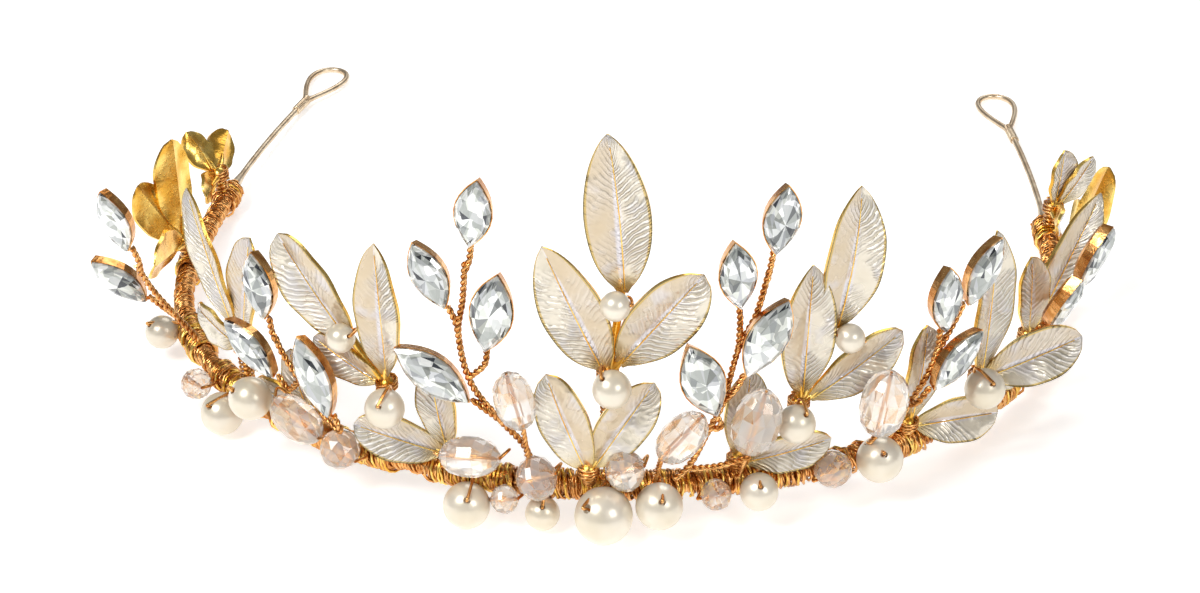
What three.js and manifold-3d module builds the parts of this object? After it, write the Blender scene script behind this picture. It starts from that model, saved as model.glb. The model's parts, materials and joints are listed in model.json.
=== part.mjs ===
// Bridal tiara: a springy wire band, open at the back, dressed with enamelled leaf castings,
// branches of pointed stones in metal cups, pearls and faceted crystals.
// Millimetres, +Z up. The wearer's head is on the +Y side of the front, +X is the viewer's right.
import * as THREE from 'three';
import { mergeVertices } from 'three/addons/utils/BufferGeometryUtils.js';
import Module from 'manifold-3d';

const wasm = await Module();
wasm.setup();

// Band wire
const HALF_WIDTH = 78.5;
const FRONT_DEPTH = 73;
const BACK_DEPTH = 75;
const END_HALF_GAP = 69;
const BAND_HEIGHT = 7.2;
const BAND_RADIUS = 1.5;
const BOUND_HALF_LENGTH = 153;
const TAIL_RADIUS = 0.6;
const LEFT_FLEX_STATION = -61;
const RIGHT_FLEX_STATION = 54;
const FLEX_GAP = 0.6;

// End loops
const LOOP_LENGTH = 15;
const LOOP_HALF_WIDTH = 3.8;
const LOOP_WIRE_RADIUS = 0.65;

// Leaf castings
const LEAF_THICKNESS = 0.9;
const LEAF_FOLD = 16;
const LEAF_CURL = -1.2;
const LEAF_STALK_RADIUS = 0.8;
const STALK_OVERLAP = 1.2;
const HUB_RADIUS = 1.7;
const HUB_SOLID_SHARE = 0.75;
const SEAT_CLEARANCE = 0.3;

// Pointed stones, their cups and branch wires
const SMALL_STONE = { length: 12.5, width: 6.2 };
const LARGE_STONE = { length: 15, width: 7.2 };
const STONE_GIRDLE = 0.8;
const STONE_CROWN = 1.3;
const STONE_TABLE_INSET = 1.5;
const CUP_WALL = 0.45;
const CUP_FLOOR = 0.6;
const CUP_POINT_WALL = 0.9;
const BRANCH_RADIUS = 0.6;

// The ornaments stand on the band like a wall that leans out from the head
const FRONT_LEAN = 3;
const SIDE_LEAN = 9;

const rad = THREE.MathUtils.degToRad;

const FINISHES = {
  wire: { color: 0xc98a3c, roughness: 0.32, metalness: 1 },
  enamel: { color: 0xe9dccb, roughness: 0.35, metalness: 0.2 },
  pearl: { color: 0xf3ead8, roughness: 0.22, metalness: 0 },
  stone: { color: 0xdfe3e6, roughness: 0.05, metalness: 0 },
  crystal: { color: 0xecd3bf, roughness: 0.06, metalness: 0 },
};

const tiara = new THREE.Group();

function addPart(name, geometry, finish) {
  const mesh = new THREE.Mesh(geometry, new THREE.MeshStandardMaterial(FINISHES[finish]));
  mesh.name = name;
  tiara.add(mesh);
}

// ---- Solids ----

function toManifold(geometry) {
  const bare = geometry.index ? geometry.toNonIndexed() : geometry.clone();
  bare.deleteAttribute('normal');
  bare.deleteAttribute('uv');
  const welded = mergeVertices(bare, 1e-4);
  return new wasm.Manifold(new wasm.Mesh({
    numProp: 3,
    vertProperties: new Float32Array(welded.attributes.position.array),
    triVerts: new Uint32Array(welded.index.array),
  }));
}

function fromManifold(solid) {
  const mesh = solid.getMesh();
  const geometry = new THREE.BufferGeometry();
  geometry.setAttribute('position', new THREE.BufferAttribute(mesh.vertProperties, 3));
  geometry.setIndex(new THREE.BufferAttribute(mesh.triVerts, 1));
  return geometry;
}

function join(geometries) {
  const solids = geometries.map(toManifold);
  return fromManifold(solids.reduce((whole, piece) => whole.add(piece)));
}

function polygon(radius, sides) {
  const shape = new THREE.Shape();
  for (let i = 0; i < sides; i += 1) {
    const angle = (i + 0.5) / sides * 2 * Math.PI;
    const corner = [radius * Math.cos(angle), radius * Math.sin(angle)];
    if (i === 0) shape.moveTo(...corner);
    else shape.lineTo(...corner);
  }
  shape.closePath();
  return shape;
}

function sweep(curve, radius, steps, sides = 8) {
  const options = { steps, bevelEnabled: false, extrudePath: curve };
  return new THREE.ExtrudeGeometry(polygon(radius, sides), options);
}

function rod(from, to, radius) {
  return sweep(new THREE.LineCurve3(from, to), radius, 1, 5);
}

// ---- Band curve: half an ellipse at the front, arms that draw in towards the back ----

class BandCurve extends THREE.Curve {
  getPoint(t) {
    const side = 2 * t - 1;
    const along = Math.abs(side) * 2;
    const sign = Math.sign(side);
    if (along <= 1) {
      const angle = along * Math.PI / 2;
      const x = sign * HALF_WIDTH * Math.sin(angle);
      return new THREE.Vector3(x, -FRONT_DEPTH * Math.cos(angle), BAND_HEIGHT);
    }
    const back = along - 1;
    const x = sign * (HALF_WIDTH - (HALF_WIDTH - END_HALF_GAP) * back ** 2);
    return new THREE.Vector3(x, BACK_DEPTH * back, BAND_HEIGHT);
  }
}

const band = new BandCurve();
band.arcLengthDivisions = 2000;
const BAND_LENGTH = band.getLength();

// A station is the distance along the band from its middle, positive towards +X
const share = (station) => 0.5 + station / BAND_LENGTH;
const bandPoint = (station) => band.getPointAt(share(station));
const bandTangent = (station) => band.getTangentAt(share(station));
const outward = (tangent) => new THREE.Vector3(tangent.y, -tangent.x, 0);

class BandStretch extends THREE.Curve {
  constructor(from, to) {
    super();
    this.from = from;
    this.to = to;
  }

  getPoint(t) {
    return bandPoint(this.from + (this.to - this.from) * t);
  }
}

// Frame on the leaning wall: X along the band, Y up the wall, Z away from the head.
// Heights are from the top of the band wire, outs are from its front.
function wallFrame(station, height, out) {
  const along = bandTangent(station);
  const normal = outward(along);
  const lean = rad(FRONT_LEAN + (SIDE_LEAN - FRONT_LEAN) * Math.abs(normal.x));
  const up = new THREE.Vector3(0, 0, Math.cos(lean)).addScaledVector(normal, Math.sin(lean));
  const face = new THREE.Vector3().crossVectors(along, up);
  const place = bandPoint(station);
  place.addScaledVector(up, BAND_RADIUS + height).addScaledVector(face, BAND_RADIUS + out);
  return new THREE.Matrix4().makeBasis(along, up, face).setPosition(place);
}

// A direction that is tilted along the wall and flared away from it, as a turn of local +Y
function turn(tilt, flare, spin = 0) {
  const tilted = new THREE.Matrix4().makeRotationZ(-rad(tilt));
  const flared = new THREE.Matrix4().makeRotationX(rad(flare));
  const spun = new THREE.Matrix4().makeRotationY(rad(spin));
  return tilted.multiply(flared).multiply(spun);
}

// ---- Band: a stiff middle and two springy arms that end in bare wire loops ----

addPart('front_band', sweep(new BandStretch(LEFT_FLEX_STATION + FLEX_GAP / 2,
  RIGHT_FLEX_STATION - FLEX_GAP / 2), BAND_RADIUS, 17), 'wire');

// Teardrop of wire that leaves the end of the tail and returns to it, lying flat
function endLoop(side) {
  const end = side * BAND_LENGTH / 2;
  const neck = bandPoint(end);
  const away = bandTangent(end).multiplyScalar(side);
  const across = outward(away);
  const outline = [
    [-2, 0.35], [1.5, 0.6], [LOOP_LENGTH * 0.45, LOOP_HALF_WIDTH * 0.78],
    [LOOP_LENGTH * 0.75, LOOP_HALF_WIDTH], [LOOP_LENGTH, 0],
  ];
  const mirrored = outline.slice(0, -1).reverse().map(([along, half]) => [along, -half]);
  const points = [...outline, ...mirrored].map(([along, half]) => (
    neck.clone().addScaledVector(away, along).addScaledVector(across, half)));
  return sweep(new THREE.CatmullRomCurve3(points), LOOP_WIRE_RADIUS, 16, 6);
}

function addArm(name, side, flexStation) {
  const start = flexStation + side * FLEX_GAP / 2;
  const bound = sweep(new BandStretch(start, side * BOUND_HALF_LENGTH), BAND_RADIUS, 12);
  const tailStart = side * (BOUND_HALF_LENGTH - BAND_RADIUS);
  const tail = sweep(new BandStretch(tailStart, side * BAND_LENGTH / 2), TAIL_RADIUS, 5, 6);
  addPart(name, join([bound, tail, endLoop(side)]), 'wire');
}

addArm('left_band_arm', -1, LEFT_FLEX_STATION);
addArm('right_band_arm', 1, RIGHT_FLEX_STATION);

// ---- Leaf castings: pointed leaves folded along the midrib, fanned from a small hub ----

// The blade starts as a thin slab with a midrib line, then its outline, fold and curl are worked in
function leafBlade(length, width) {
  const blade = new THREE.BoxGeometry(width, length, LEAF_THICKNESS, 2, 5, 1);
  const place = blade.attributes.position;
  for (let i = 0; i < place.count; i += 1) {
    const along = place.getY(i) / length + 0.5;
    const swell = Math.sin(Math.PI * along ** 0.85) ** 0.75;
    const taper = THREE.MathUtils.lerp(0.16, 0.03, along);
    const x = place.getX(i) * Math.max(swell, taper);
    const z = place.getZ(i) + Math.abs(x) * Math.tan(rad(LEAF_FOLD)) + LEAF_CURL * along ** 2;
    place.setXYZ(i, x, along * length, z);
  }
  return blade;
}

// Each leaf: stalk length from the hub, blade length and width, tilt along the wall, flare outwards,
// the blade's roll about its midrib, and its bend from the line of the stalk
function addSpray(name, { station, height, out, leaves }) {
  const hub = new THREE.Vector3(0, 0, 0);
  const foot = new THREE.Vector3(0, -BAND_RADIUS - height, -BAND_RADIUS - out);
  foot.setLength(foot.length() - BAND_RADIUS - SEAT_CLEARANCE);
  const pieces = [rod(hub, foot, LEAF_STALK_RADIUS), new THREE.IcosahedronGeometry(HUB_RADIUS)];
  for (const { stalk, length, width, tilt, flare, roll = 0, bend = 0 } of leaves) {
    const along = new THREE.Vector3(0, 1, 0).applyMatrix4(turn(tilt, flare));
    const root = along.clone().multiplyScalar(stalk);
    if (stalk > HUB_RADIUS * HUB_SOLID_SHARE) {
      pieces.push(rod(hub, along.multiplyScalar(stalk + STALK_OVERLAP), LEAF_STALK_RADIUS));
    }
    pieces.push(leafBlade(length, width).applyMatrix4(turn(tilt + bend, flare, roll).setPosition(root)));
  }
  const geometry = join(pieces);
  geometry.applyMatrix4(wallFrame(station, height, out));
  addPart(name, geometry, 'enamel');
}

const SPRAYS = {
  centre_top_spray: { station: 5.5, height: 20.5, out: -1, leaves: [
    { stalk: 16, length: 28.5, width: 11, tilt: 9, flare: 0, bend: -14 },
    { stalk: 1, length: 25.5, width: 10.5, tilt: -24, flare: 4 },
    { stalk: 3, length: 23, width: 11, tilt: 38, flare: 4 },
  ] },
  centre_low_spray: { station: 2.5, height: 3.5, out: 2, leaves: [
    { stalk: 0, length: 19, width: 8.5, tilt: -23, flare: 0 },
    { stalk: 1, length: 18.5, width: 8.5, tilt: 33, flare: -3 },
  ] },
  left_mid_spray: { station: -32, height: 13.5, out: -1, leaves: [
    { stalk: 9, length: 22, width: 10.5, tilt: -40, flare: 0 },
    { stalk: 2, length: 25.5, width: 8.5, tilt: 1, flare: 3 },
    { stalk: 1, length: 14, width: 7, tilt: -68, flare: 2 },
  ] },
  left_low_spray: { station: -21, height: 2.5, out: -1, leaves: [
    { stalk: 1, length: 15, width: 7, tilt: -14, flare: 0 },
    { stalk: 1, length: 16, width: 8, tilt: -76, flare: 12, roll: 14 },
  ] },
  left_side_low_spray: { station: -48, height: 2.5, out: -1, leaves: [
    { stalk: 1, length: 11, width: 6, tilt: -26, flare: 0 },
    { stalk: 1, length: 13, width: 7, tilt: -84, flare: 0 },
  ] },
  left_side_spray: { station: -66, height: 8.5, out: -2, leaves: [
    { stalk: 4, length: 26, width: 9, tilt: -16, flare: 4 },
    { stalk: 2, length: 23, width: 8, tilt: 16, flare: 0 },
    { stalk: 1, length: 13, width: 7, tilt: -82, flare: 4 },
  ] },
  left_far_spray: { station: -119, height: 3.5, out: -1.5, leaves: [
    { stalk: 1, length: 18.5, width: 8.5, tilt: -12, flare: 0, roll: -35 },
    { stalk: 1, length: 14, width: 8, tilt: 14, flare: 26, roll: -30 },
    { stalk: 1, length: 17, width: 9, tilt: 76, flare: 8, roll: -25 },
  ] },
  left_end_spray: { station: -147, height: 4, out: -1.5, leaves: [
    { stalk: 1, length: 11, width: 6.5, tilt: -72, flare: 8, roll: -30 },
    { stalk: 1, length: 9, width: 6, tilt: -14, flare: 34, roll: -35 },
    { stalk: 1, length: 9, width: 5.5, tilt: 88, flare: 4 },
  ] },
  right_mid_spray: { station: 37, height: 12.5, out: -1, leaves: [
    { stalk: 15, length: 26, width: 10.5, tilt: 22, flare: 0, bend: -10 },
    { stalk: 2, length: 25, width: 9.5, tilt: 1, flare: 3 },
    { stalk: 2, length: 19, width: 9, tilt: 62, flare: 0 },
  ] },
  right_low_spray: { station: 27, height: 2.5, out: -1.2, leaves: [
    { stalk: 1, length: 16, width: 7.5, tilt: 6, flare: 0 },
    { stalk: 1, length: 15, width: 7.5, tilt: 77, flare: 12 },
  ] },
  right_side_low_spray: { station: 58.5, height: 2.5, out: -1, leaves: [
    { stalk: 1, length: 17, width: 7.5, tilt: 14, flare: -4 },
    { stalk: 1, length: 17, width: 8.5, tilt: 94, flare: 12, roll: -10 },
  ] },
  right_side_spray: { station: 74, height: 6.5, out: -0.5, leaves: [
    { stalk: 1, length: 28, width: 10, tilt: 0, flare: 0 },
    { stalk: 1, length: 18, width: 9.5, tilt: 62, flare: 34, roll: -34 },
    { stalk: 1, length: 10, width: 6, tilt: 100, flare: 12 },
  ] },
  right_far_spray: { station: 93, height: 5.5, out: -2, leaves: [
    { stalk: 1, length: 27, width: 9, tilt: 36, flare: 6, roll: -35 },
    { stalk: 1, length: 17, width: 7, tilt: -14, flare: 0, roll: -25 },
    { stalk: 1, length: 14, width: 7, tilt: 84, flare: 8 },
  ] },
  right_back_spray: { station: 121, height: 4.5, out: -1.5, leaves: [
    { stalk: 1, length: 21, width: 8.5, tilt: 4, flare: 14, roll: 35 },
    { stalk: 1, length: 15, width: 7.5, tilt: 60, flare: 8 },
    { stalk: 1, length: 12, width: 7, tilt: -66, flare: 0 },
  ] },
  right_end_spray: { station: 148, height: 4, out: -1.5, leaves: [
    { stalk: 1, length: 11, width: 7, tilt: -8, flare: 0, roll: -45 },
    { stalk: 1, length: 11, width: 6.5, tilt: 14, flare: 32, roll: -45 },
    { stalk: 1, length: 9, width: 5.5, tilt: -88, flare: 4 },
  ] },
};

for (const [name, spray] of Object.entries(SPRAYS)) addSpray(name, spray);

// ---- Stone branches: twisted wire with a metal cup for each pointed stone ----

function pointedOutline(length, width) {
  const shape = new THREE.Shape();
  shape.moveTo(0, -length / 2);
  shape.quadraticCurveTo(width, 0, 0, length / 2);
  shape.quadraticCurveTo(-width, 0, 0, -length / 2);
  return shape;
}

function stoneGeometry({ length, width }) {
  const geometry = new THREE.ExtrudeGeometry(pointedOutline(length, width), {
    depth: STONE_GIRDLE,
    curveSegments: 3,
    bevelEnabled: true,
    bevelSegments: 1,
    bevelThickness: STONE_CROWN,
    bevelSize: STONE_TABLE_INSET,
    bevelOffset: -STONE_TABLE_INSET,
  });
  return geometry.translate(0, 0, -STONE_GIRDLE / 2);
}

const CUP_DEPTH = STONE_GIRDLE / 2 + STONE_CROWN + SEAT_CLEARANCE + CUP_FLOOR;

function cupGeometry({ length, width }) {
  const mouthLength = length + 4 * SEAT_CLEARANCE;
  const mouthWidth = width + 2 * SEAT_CLEARANCE;
  const outer = pointedOutline(mouthLength + 2 * CUP_POINT_WALL, mouthWidth + 2 * CUP_WALL);
  const straight = { depth: CUP_DEPTH, curveSegments: 3, bevelEnabled: false };
  const block = new THREE.ExtrudeGeometry(outer, straight).translate(0, 0, -CUP_DEPTH);
  const mouth = pointedOutline(mouthLength, mouthWidth);
  const hollow = new THREE.ExtrudeGeometry(mouth, straight);
  hollow.translate(0, 0, CUP_FLOOR - CUP_DEPTH);
  return fromManifold(toManifold(block).subtract(toManifold(hollow)));
}

// Each stone: its centre and tilt on the wall, and where its twig leaves the stem.
// Each twig without a stone ends at a crystal bead.
function addBranch(name, { station, out, stem, twigs = [], stones }) {
  const stem3 = stem.map(([along, up, face]) => new THREE.Vector3(along, up, face));
  const pieces = [sweep(new THREE.CatmullRomCurve3(stem3), BRANCH_RADIUS, 2 * (stem.length - 1), 5)];
  const frame = wallFrame(station, 0, out);
  stones.forEach(({ size, at, tilt, flare = 0, spin = 0, from }, index) => {
    const pose = turn(tilt, flare, spin).setPosition(...at);
    pieces.push(cupGeometry(size).applyMatrix4(pose));
    const heel = -(size.length / 2 + 2 * SEAT_CLEARANCE + CUP_POINT_WALL * 0.25);
    const depth = -CUP_DEPTH / 2;
    const seat = new THREE.Vector3(0, heel, depth).applyMatrix4(pose);
    const below = new THREE.Vector3(0, heel - 2.5, depth).applyMatrix4(pose);
    const twig = new THREE.CatmullRomCurve3([new THREE.Vector3(...from), below, seat]);
    pieces.push(sweep(twig, BRANCH_RADIUS, 2, 5));
    const stone = stoneGeometry(size).applyMatrix4(pose).applyMatrix4(frame);
    addPart(`${name}_stone_${index + 1}`, stone, 'stone');
  });
  for (const twig of twigs) {
    const points = twig.map((point) => new THREE.Vector3(...point));
    pieces.push(sweep(new THREE.CatmullRomCurve3(points), BRANCH_RADIUS, 3, 5));
  }
  addPart(`${name}_branch`, join(pieces).applyMatrix4(frame), 'wire');
}

// Stems start standing on the band
const STEM_FOOT = SEAT_CLEARANCE + BRANCH_RADIUS;

const BRANCHES = {
  left_front: {
    station: -14.6, out: 1.5,
    stem: [
      [8.1, STEM_FOOT, -3], [6.4, 6.5, -2], [3.2, 11.5, -0.5], [-1.6, 18.5, 0],
      [-3.4, 27.5, 0], [-2.4, 34.5, 0], [-1.8, 41.5, 0],
    ],
    stones: [
      { size: SMALL_STONE, at: [0.2, 51.2, 1], tilt: 8, from: [-2, 39.5, 0] },
      { size: SMALL_STONE, at: [-7.8, 38.5, 1], tilt: -24, from: [-3.4, 27.5, 0] },
      { size: LARGE_STONE, at: [2.8, 33.2, 1.5], tilt: 10, from: [-1.9, 19.5, 0] },
      { size: LARGE_STONE, at: [-7.7, 20.2, 2], tilt: -55, from: [3.2, 11.5, -0.5] },
    ],
  },
  right_front: {
    station: 30, out: 1.5,
    stem: [
      [-14, STEM_FOOT, -2], [-11.6, 4.5, -1], [-9, 11.5, 0], [-6.8, 16.5, 0],
      [-4.6, 26.5, 0], [-1.9, 32.5, 0], [0, 40.5, 0],
    ],
    stones: [
      { size: SMALL_STONE, at: [1.6, 50.5, 1], tilt: 8, from: [-0.3, 38.5, 0] },
      { size: SMALL_STONE, at: [-5.5, 41.2, 1.3], tilt: -6, from: [-4.6, 26, 0] },
      { size: LARGE_STONE, at: [-0.5, 29.5, 2.9], tilt: 26, from: [-6.8, 16.5, 0] },
      { size: LARGE_STONE, at: [-11, 22.4, 2.3], tilt: -20, from: [-9, 11.5, 0] },
    ],
    twigs: [[[-12, 3, -1.5], [-8, 4.5, 1], [-5, 5.7, 2], [-2.6, 6.6, 2.4]]],
  },
  left_mid: {
    station: -44, out: 1.5,
    stem: [[1, STEM_FOOT, -2.5], [-1, 5.5, -1], [-4, 11, 0], [-7, 15, 0], [-8.6, 18.5, 0]],
    stones: [
      { size: SMALL_STONE, at: [-10.2, 28, 1], tilt: -6, from: [-8, 17, 0] },
      { size: SMALL_STONE, at: [-14, 14.4, 1], tilt: -48, from: [-4, 11, 0] },
      { size: LARGE_STONE, at: [1.7, 14.9, 3], tilt: -20, from: [-1, 5, -1] },
    ],
  },
  right_side: {
    station: 60, out: 1.5,
    stem: [[-5, STEM_FOOT, -3], [-3.6, 7.5, -1], [-1, 13.5, 0], [1, 18.5, 0]],
    stones: [
      { size: SMALL_STONE, at: [0.8, 28.5, 1], tilt: -2, from: [0.6, 17.5, 0] },
      { size: SMALL_STONE, at: [8.7, 31.5, 0.8], tilt: 26, from: [0.2, 16.5, 0] },
      { size: SMALL_STONE, at: [3.2, 17, 3], tilt: 46, from: [-3.4, 8, -1] },
    ],
  },
  left_side: {
    station: -88, out: 3.5,
    stem: [[3, STEM_FOOT, -5], [2.5, 6.5, -2], [1.5, 12.5, 1], [2, 18.5, 3]],
    stones: [
      { size: SMALL_STONE, at: [3.5, 28.5, 5.5], tilt: 0, flare: 12, spin: 40, from: [1.9, 16.5, 2.5] },
      { size: SMALL_STONE, at: [-2, 14, 6], tilt: -6, flare: 38, spin: 50, from: [2.3, 6.5, -2] },
    ],
  },
  right_far: {
    station: 90, out: 1.5,
    stem: [[-6, STEM_FOOT, -3], [-4.4, 5.5, -1], [-1, 9.5, -0.8], [3, 13.5, 1.6]],
    stones: [
      { size: SMALL_STONE, at: [7, 23, 4.6], tilt: 8, flare: 14, from: [2.2, 12.6, 1.4] },
      { size: SMALL_STONE, at: [-1, 16.5, 3.6], tilt: -4, flare: 20, from: [-4.2, 5.8, -1] },
    ],
  },
};

for (const [name, branch] of Object.entries(BRANCHES)) addBranch(name, branch);

// ---- Pearls and faceted crystals, each bound against the band or at the foot of a casting ----

// Out of a bead's centre when its back stands proud of the band's front, or of a spray's hub
function beadOut(radius, proud, hub) {
  const seat = hub ? SPRAYS[hub].out + HUB_RADIUS : 0;
  return seat + SEAT_CLEARANCE + radius + proud;
}

// Pearls: diameter, place on the wall, and how proud of its seat; those with a hub sit on a spray
const PEARLS = {
  centre_pearl: { diameter: 10, at: [5, -3.4], proud: -0.2 },
  left_front_pearl: { diameter: 8, at: [-17, -4.4], proud: -0.6 },
  right_front_pearl: { diameter: 8, at: [13.6, -1.9], proud: 0.1 },
  right_corner_pearl: { diameter: 8, at: [50, 1], proud: -0.5 },
  centre_hub_pearl: { diameter: 6.5, at: [6.3, 20.9], proud: 0.15, hub: 'centre_top_spray' },
  left_hub_pearl: { diameter: 6.8, at: [-29.9, 12.2], proud: -0.5, hub: 'left_mid_spray' },
  right_hub_pearl: { diameter: 6.5, at: [34.9, 11.8], proud: -0.45, hub: 'right_mid_spray' },
  left_corner_pearl: { diameter: 7.5, at: [-57, 5.1], proud: 0.45 },
  left_side_pearl: { diameter: 7.5, at: [-67, -2.9], proud: -0.15 },
  right_side_pearl: { diameter: 7, at: [69, 9.2], proud: 1.3 },
  left_far_pearl: { diameter: 6, at: [-94, -0.5], proud: 0.2 },
};

// A drilled pearl, turned so that a pole is its lowest point
for (const [name, { diameter, at, proud, hub }] of Object.entries(PEARLS)) {
  const ball = new THREE.SphereGeometry(diameter / 2, 10, 6).rotateX(Math.PI / 2);
  const out = beadOut(diameter / 2, proud, hub);
  const place = new THREE.Vector3().setFromMatrixPosition(wallFrame(...at, out));
  addPart(name, ball.translate(place.x, place.y, place.z), 'pearl');
}

// Crystals: rice beads are long, rondelles are nearly round
const RICE = { length: 12, diameter: 8 };
const SHORT_RICE = { length: 10.4, diameter: 6.8 };
const RONDELLE = { length: 6.6, diameter: 7.6 };
const CRYSTAL_FACETS = 8;
const CRYSTALS = {
  left_upright_crystal: { bead: SHORT_RICE, at: [-8.6, 17.4], proud: 0.2, tilt: -14 },
  left_level_crystal: { bead: SHORT_RICE, at: [-16.2, 5.2], proud: -0.3, tilt: 84 },
  left_round_crystal: { bead: RONDELLE, at: [-5.6, 2.3], proud: -0.8, tilt: 70 },
  left_corner_crystal: { bead: SHORT_RICE, at: [-46.9, 4.9], proud: 0.6, tilt: -64 },
  right_lower_crystal: { bead: SHORT_RICE, at: [16.9, 11.7], proud: 0.9, tilt: 40 },
  right_upright_crystal: { bead: RICE, at: [28.4, 13.4], proud: -0.1, tilt: 14 },
  right_corner_crystal: { bead: RICE, at: [48.9, 13.4], proud: 0.8, tilt: 8 },
};

function crystalGeometry({ length, diameter }) {
  const radius = diameter / 2;
  const profile = [[0.4, -1], [0.94, -0.4], [0.94, 0.4], [0.4, 1]];
  const points = [new THREE.Vector2(0, -length / 2)];
  for (const [wide, along] of profile) points.push(new THREE.Vector2(wide * radius, along * length / 2));
  points.push(new THREE.Vector2(0, length / 2));
  return new THREE.LatheGeometry(points, CRYSTAL_FACETS);
}

for (const [name, { bead, at, proud, tilt }] of Object.entries(CRYSTALS)) {
  const frame = wallFrame(...at, beadOut(bead.diameter / 2, proud));
  const geometry = crystalGeometry(bead).applyMatrix4(turn(tilt, 0)).applyMatrix4(frame);
  addPart(name, geometry, 'crystal');
}

// ---- Set down on the front pearls and the end loops, with the middle of the plan at the origin ----

const restSlope = (BAND_HEIGHT - LOOP_WIRE_RADIUS) / (FRONT_DEPTH + BACK_DEPTH + LOOP_LENGTH);
tiara.rotation.x = -Math.atan(restSlope);
const bounds = new THREE.Box3().setFromObject(tiara, true);
const middle = bounds.getCenter(new THREE.Vector3());
tiara.position.set(-middle.x, -middle.y, -bounds.min.z);

export default tiara;
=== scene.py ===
import json
import math
import random

import bmesh
import bpy
from mathutils import Matrix, Vector


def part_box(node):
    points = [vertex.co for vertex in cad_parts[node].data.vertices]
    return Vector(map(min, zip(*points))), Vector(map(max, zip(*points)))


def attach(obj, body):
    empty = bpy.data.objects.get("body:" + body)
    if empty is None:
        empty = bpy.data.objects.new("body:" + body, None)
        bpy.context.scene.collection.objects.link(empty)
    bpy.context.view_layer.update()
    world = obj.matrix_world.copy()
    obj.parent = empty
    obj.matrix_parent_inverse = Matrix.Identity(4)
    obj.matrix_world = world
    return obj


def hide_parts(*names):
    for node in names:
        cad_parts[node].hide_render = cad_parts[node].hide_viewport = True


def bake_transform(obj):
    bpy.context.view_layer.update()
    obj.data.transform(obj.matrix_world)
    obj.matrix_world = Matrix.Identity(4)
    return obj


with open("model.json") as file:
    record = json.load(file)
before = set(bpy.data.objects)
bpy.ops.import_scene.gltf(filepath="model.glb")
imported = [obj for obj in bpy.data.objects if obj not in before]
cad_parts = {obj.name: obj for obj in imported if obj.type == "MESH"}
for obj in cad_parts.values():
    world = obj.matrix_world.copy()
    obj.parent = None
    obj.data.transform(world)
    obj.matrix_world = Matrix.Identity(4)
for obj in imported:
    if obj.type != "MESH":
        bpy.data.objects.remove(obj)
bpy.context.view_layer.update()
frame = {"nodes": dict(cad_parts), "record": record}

bpy.ops.object.select_all(action="DESELECT")
record = frame["record"]
body_of = {node: body for body, nodes in record["behaviour"]["bodies"].items() for node in nodes}

# ---- Band ----
# Springy wire bound from end to end with fine copper wire. The middle is the frame's own rod, the
# arms are smooth rods that thin to bare tails, each bent round into an open loop at its end. Its
# line is a half ellipse whose arms draw in towards the open back, tipped back a little.
MM = 0.001
HALF_WIDTH = 78.5
FRONT_DEPTH = 73.0
BACK_DEPTH = 75.0
END_HALF_GAP = 69.0
BAND_HEIGHT = 7.2
BAND_RADIUS = 1.5
LOOP_LENGTH = 15.0
LOOP_WIRE_RADIUS = 0.65
FRONT_LEAN = 3.0
SIDE_LEAN = 9.0
rest_slope = (BAND_HEIGHT - LOOP_WIRE_RADIUS) / (FRONT_DEPTH + BACK_DEPTH + LOOP_LENGTH)
tip_back = Matrix.Rotation(-math.atan(rest_slope), 4, "X")


def band_plan(side):
    """The band's line from one end, -1, by its middle, 0, to the other, 1."""
    along = abs(side) * 2
    sign = 1 if side > 0 else -1
    if along <= 1:
        angle = along * math.pi / 2
        return Vector((sign * HALF_WIDTH * math.sin(angle), -FRONT_DEPTH * math.cos(angle),
                       BAND_HEIGHT))
    back = along - 1
    draw_in = (HALF_WIDTH - END_HALF_GAP) * back ** 2
    return Vector((sign * (HALF_WIDTH - draw_in), BACK_DEPTH * back, BAND_HEIGHT))


BAND_STEPS = 4000
band_points = [band_plan(2 * i / BAND_STEPS - 1) for i in range(BAND_STEPS + 1)]
band_run = [0.0]
for before, after in zip(band_points, band_points[1:]):
    band_run.append(band_run[-1] + (after - before).length)
BAND_LENGTH = band_run[-1]


def band_place(station):
    """The point at a run along the band from its middle, and its direction there."""
    goal = station + BAND_LENGTH / 2
    low, high = 0, BAND_STEPS
    while high - low > 1:
        middle = (low + high) // 2
        low, high = (middle, high) if band_run[middle] <= goal else (low, middle)
    share = (goal - band_run[low]) / (band_run[high] - band_run[low])
    tangent = (band_points[high] - band_points[low]).normalized()
    return band_points[low].lerp(band_points[high], share), tangent


def plan_wall(station, height, out):
    """A place on the wall that leans out from the band, before the tiara is tipped back."""
    place, along = band_place(station)
    normal = Vector((along.y, -along.x, 0))
    lean = math.radians(FRONT_LEAN + (SIDE_LEAN - FRONT_LEAN) * abs(normal.x))
    up = Vector((0, 0, math.cos(lean))) + normal * math.sin(lean)
    face = along.cross(up)
    place = place + up * (BAND_RADIUS + height) + face * (BAND_RADIUS + out)
    wall = Matrix((along, up, face)).transposed().to_4x4()
    wall.translation = place
    return wall


# The middle pearl of the frame fixes where the whole layout sits
CENTRE_PEARL_PLACE = (5.0, -3.4, 5.1)
pearl_low, pearl_high = (Vector(corner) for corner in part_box("centre_pearl"))
layout_start = tip_back @ plan_wall(*CENTRE_PEARL_PLACE).translation * MM
settle = Matrix.Translation((pearl_low + pearl_high) / 2 - layout_start)
to_frame = settle @ tip_back @ Matrix.Scale(MM, 4)


def on_band(station):
    """A point on the band's middle line, in the frame."""
    return to_frame @ band_place(station)[0]


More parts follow.
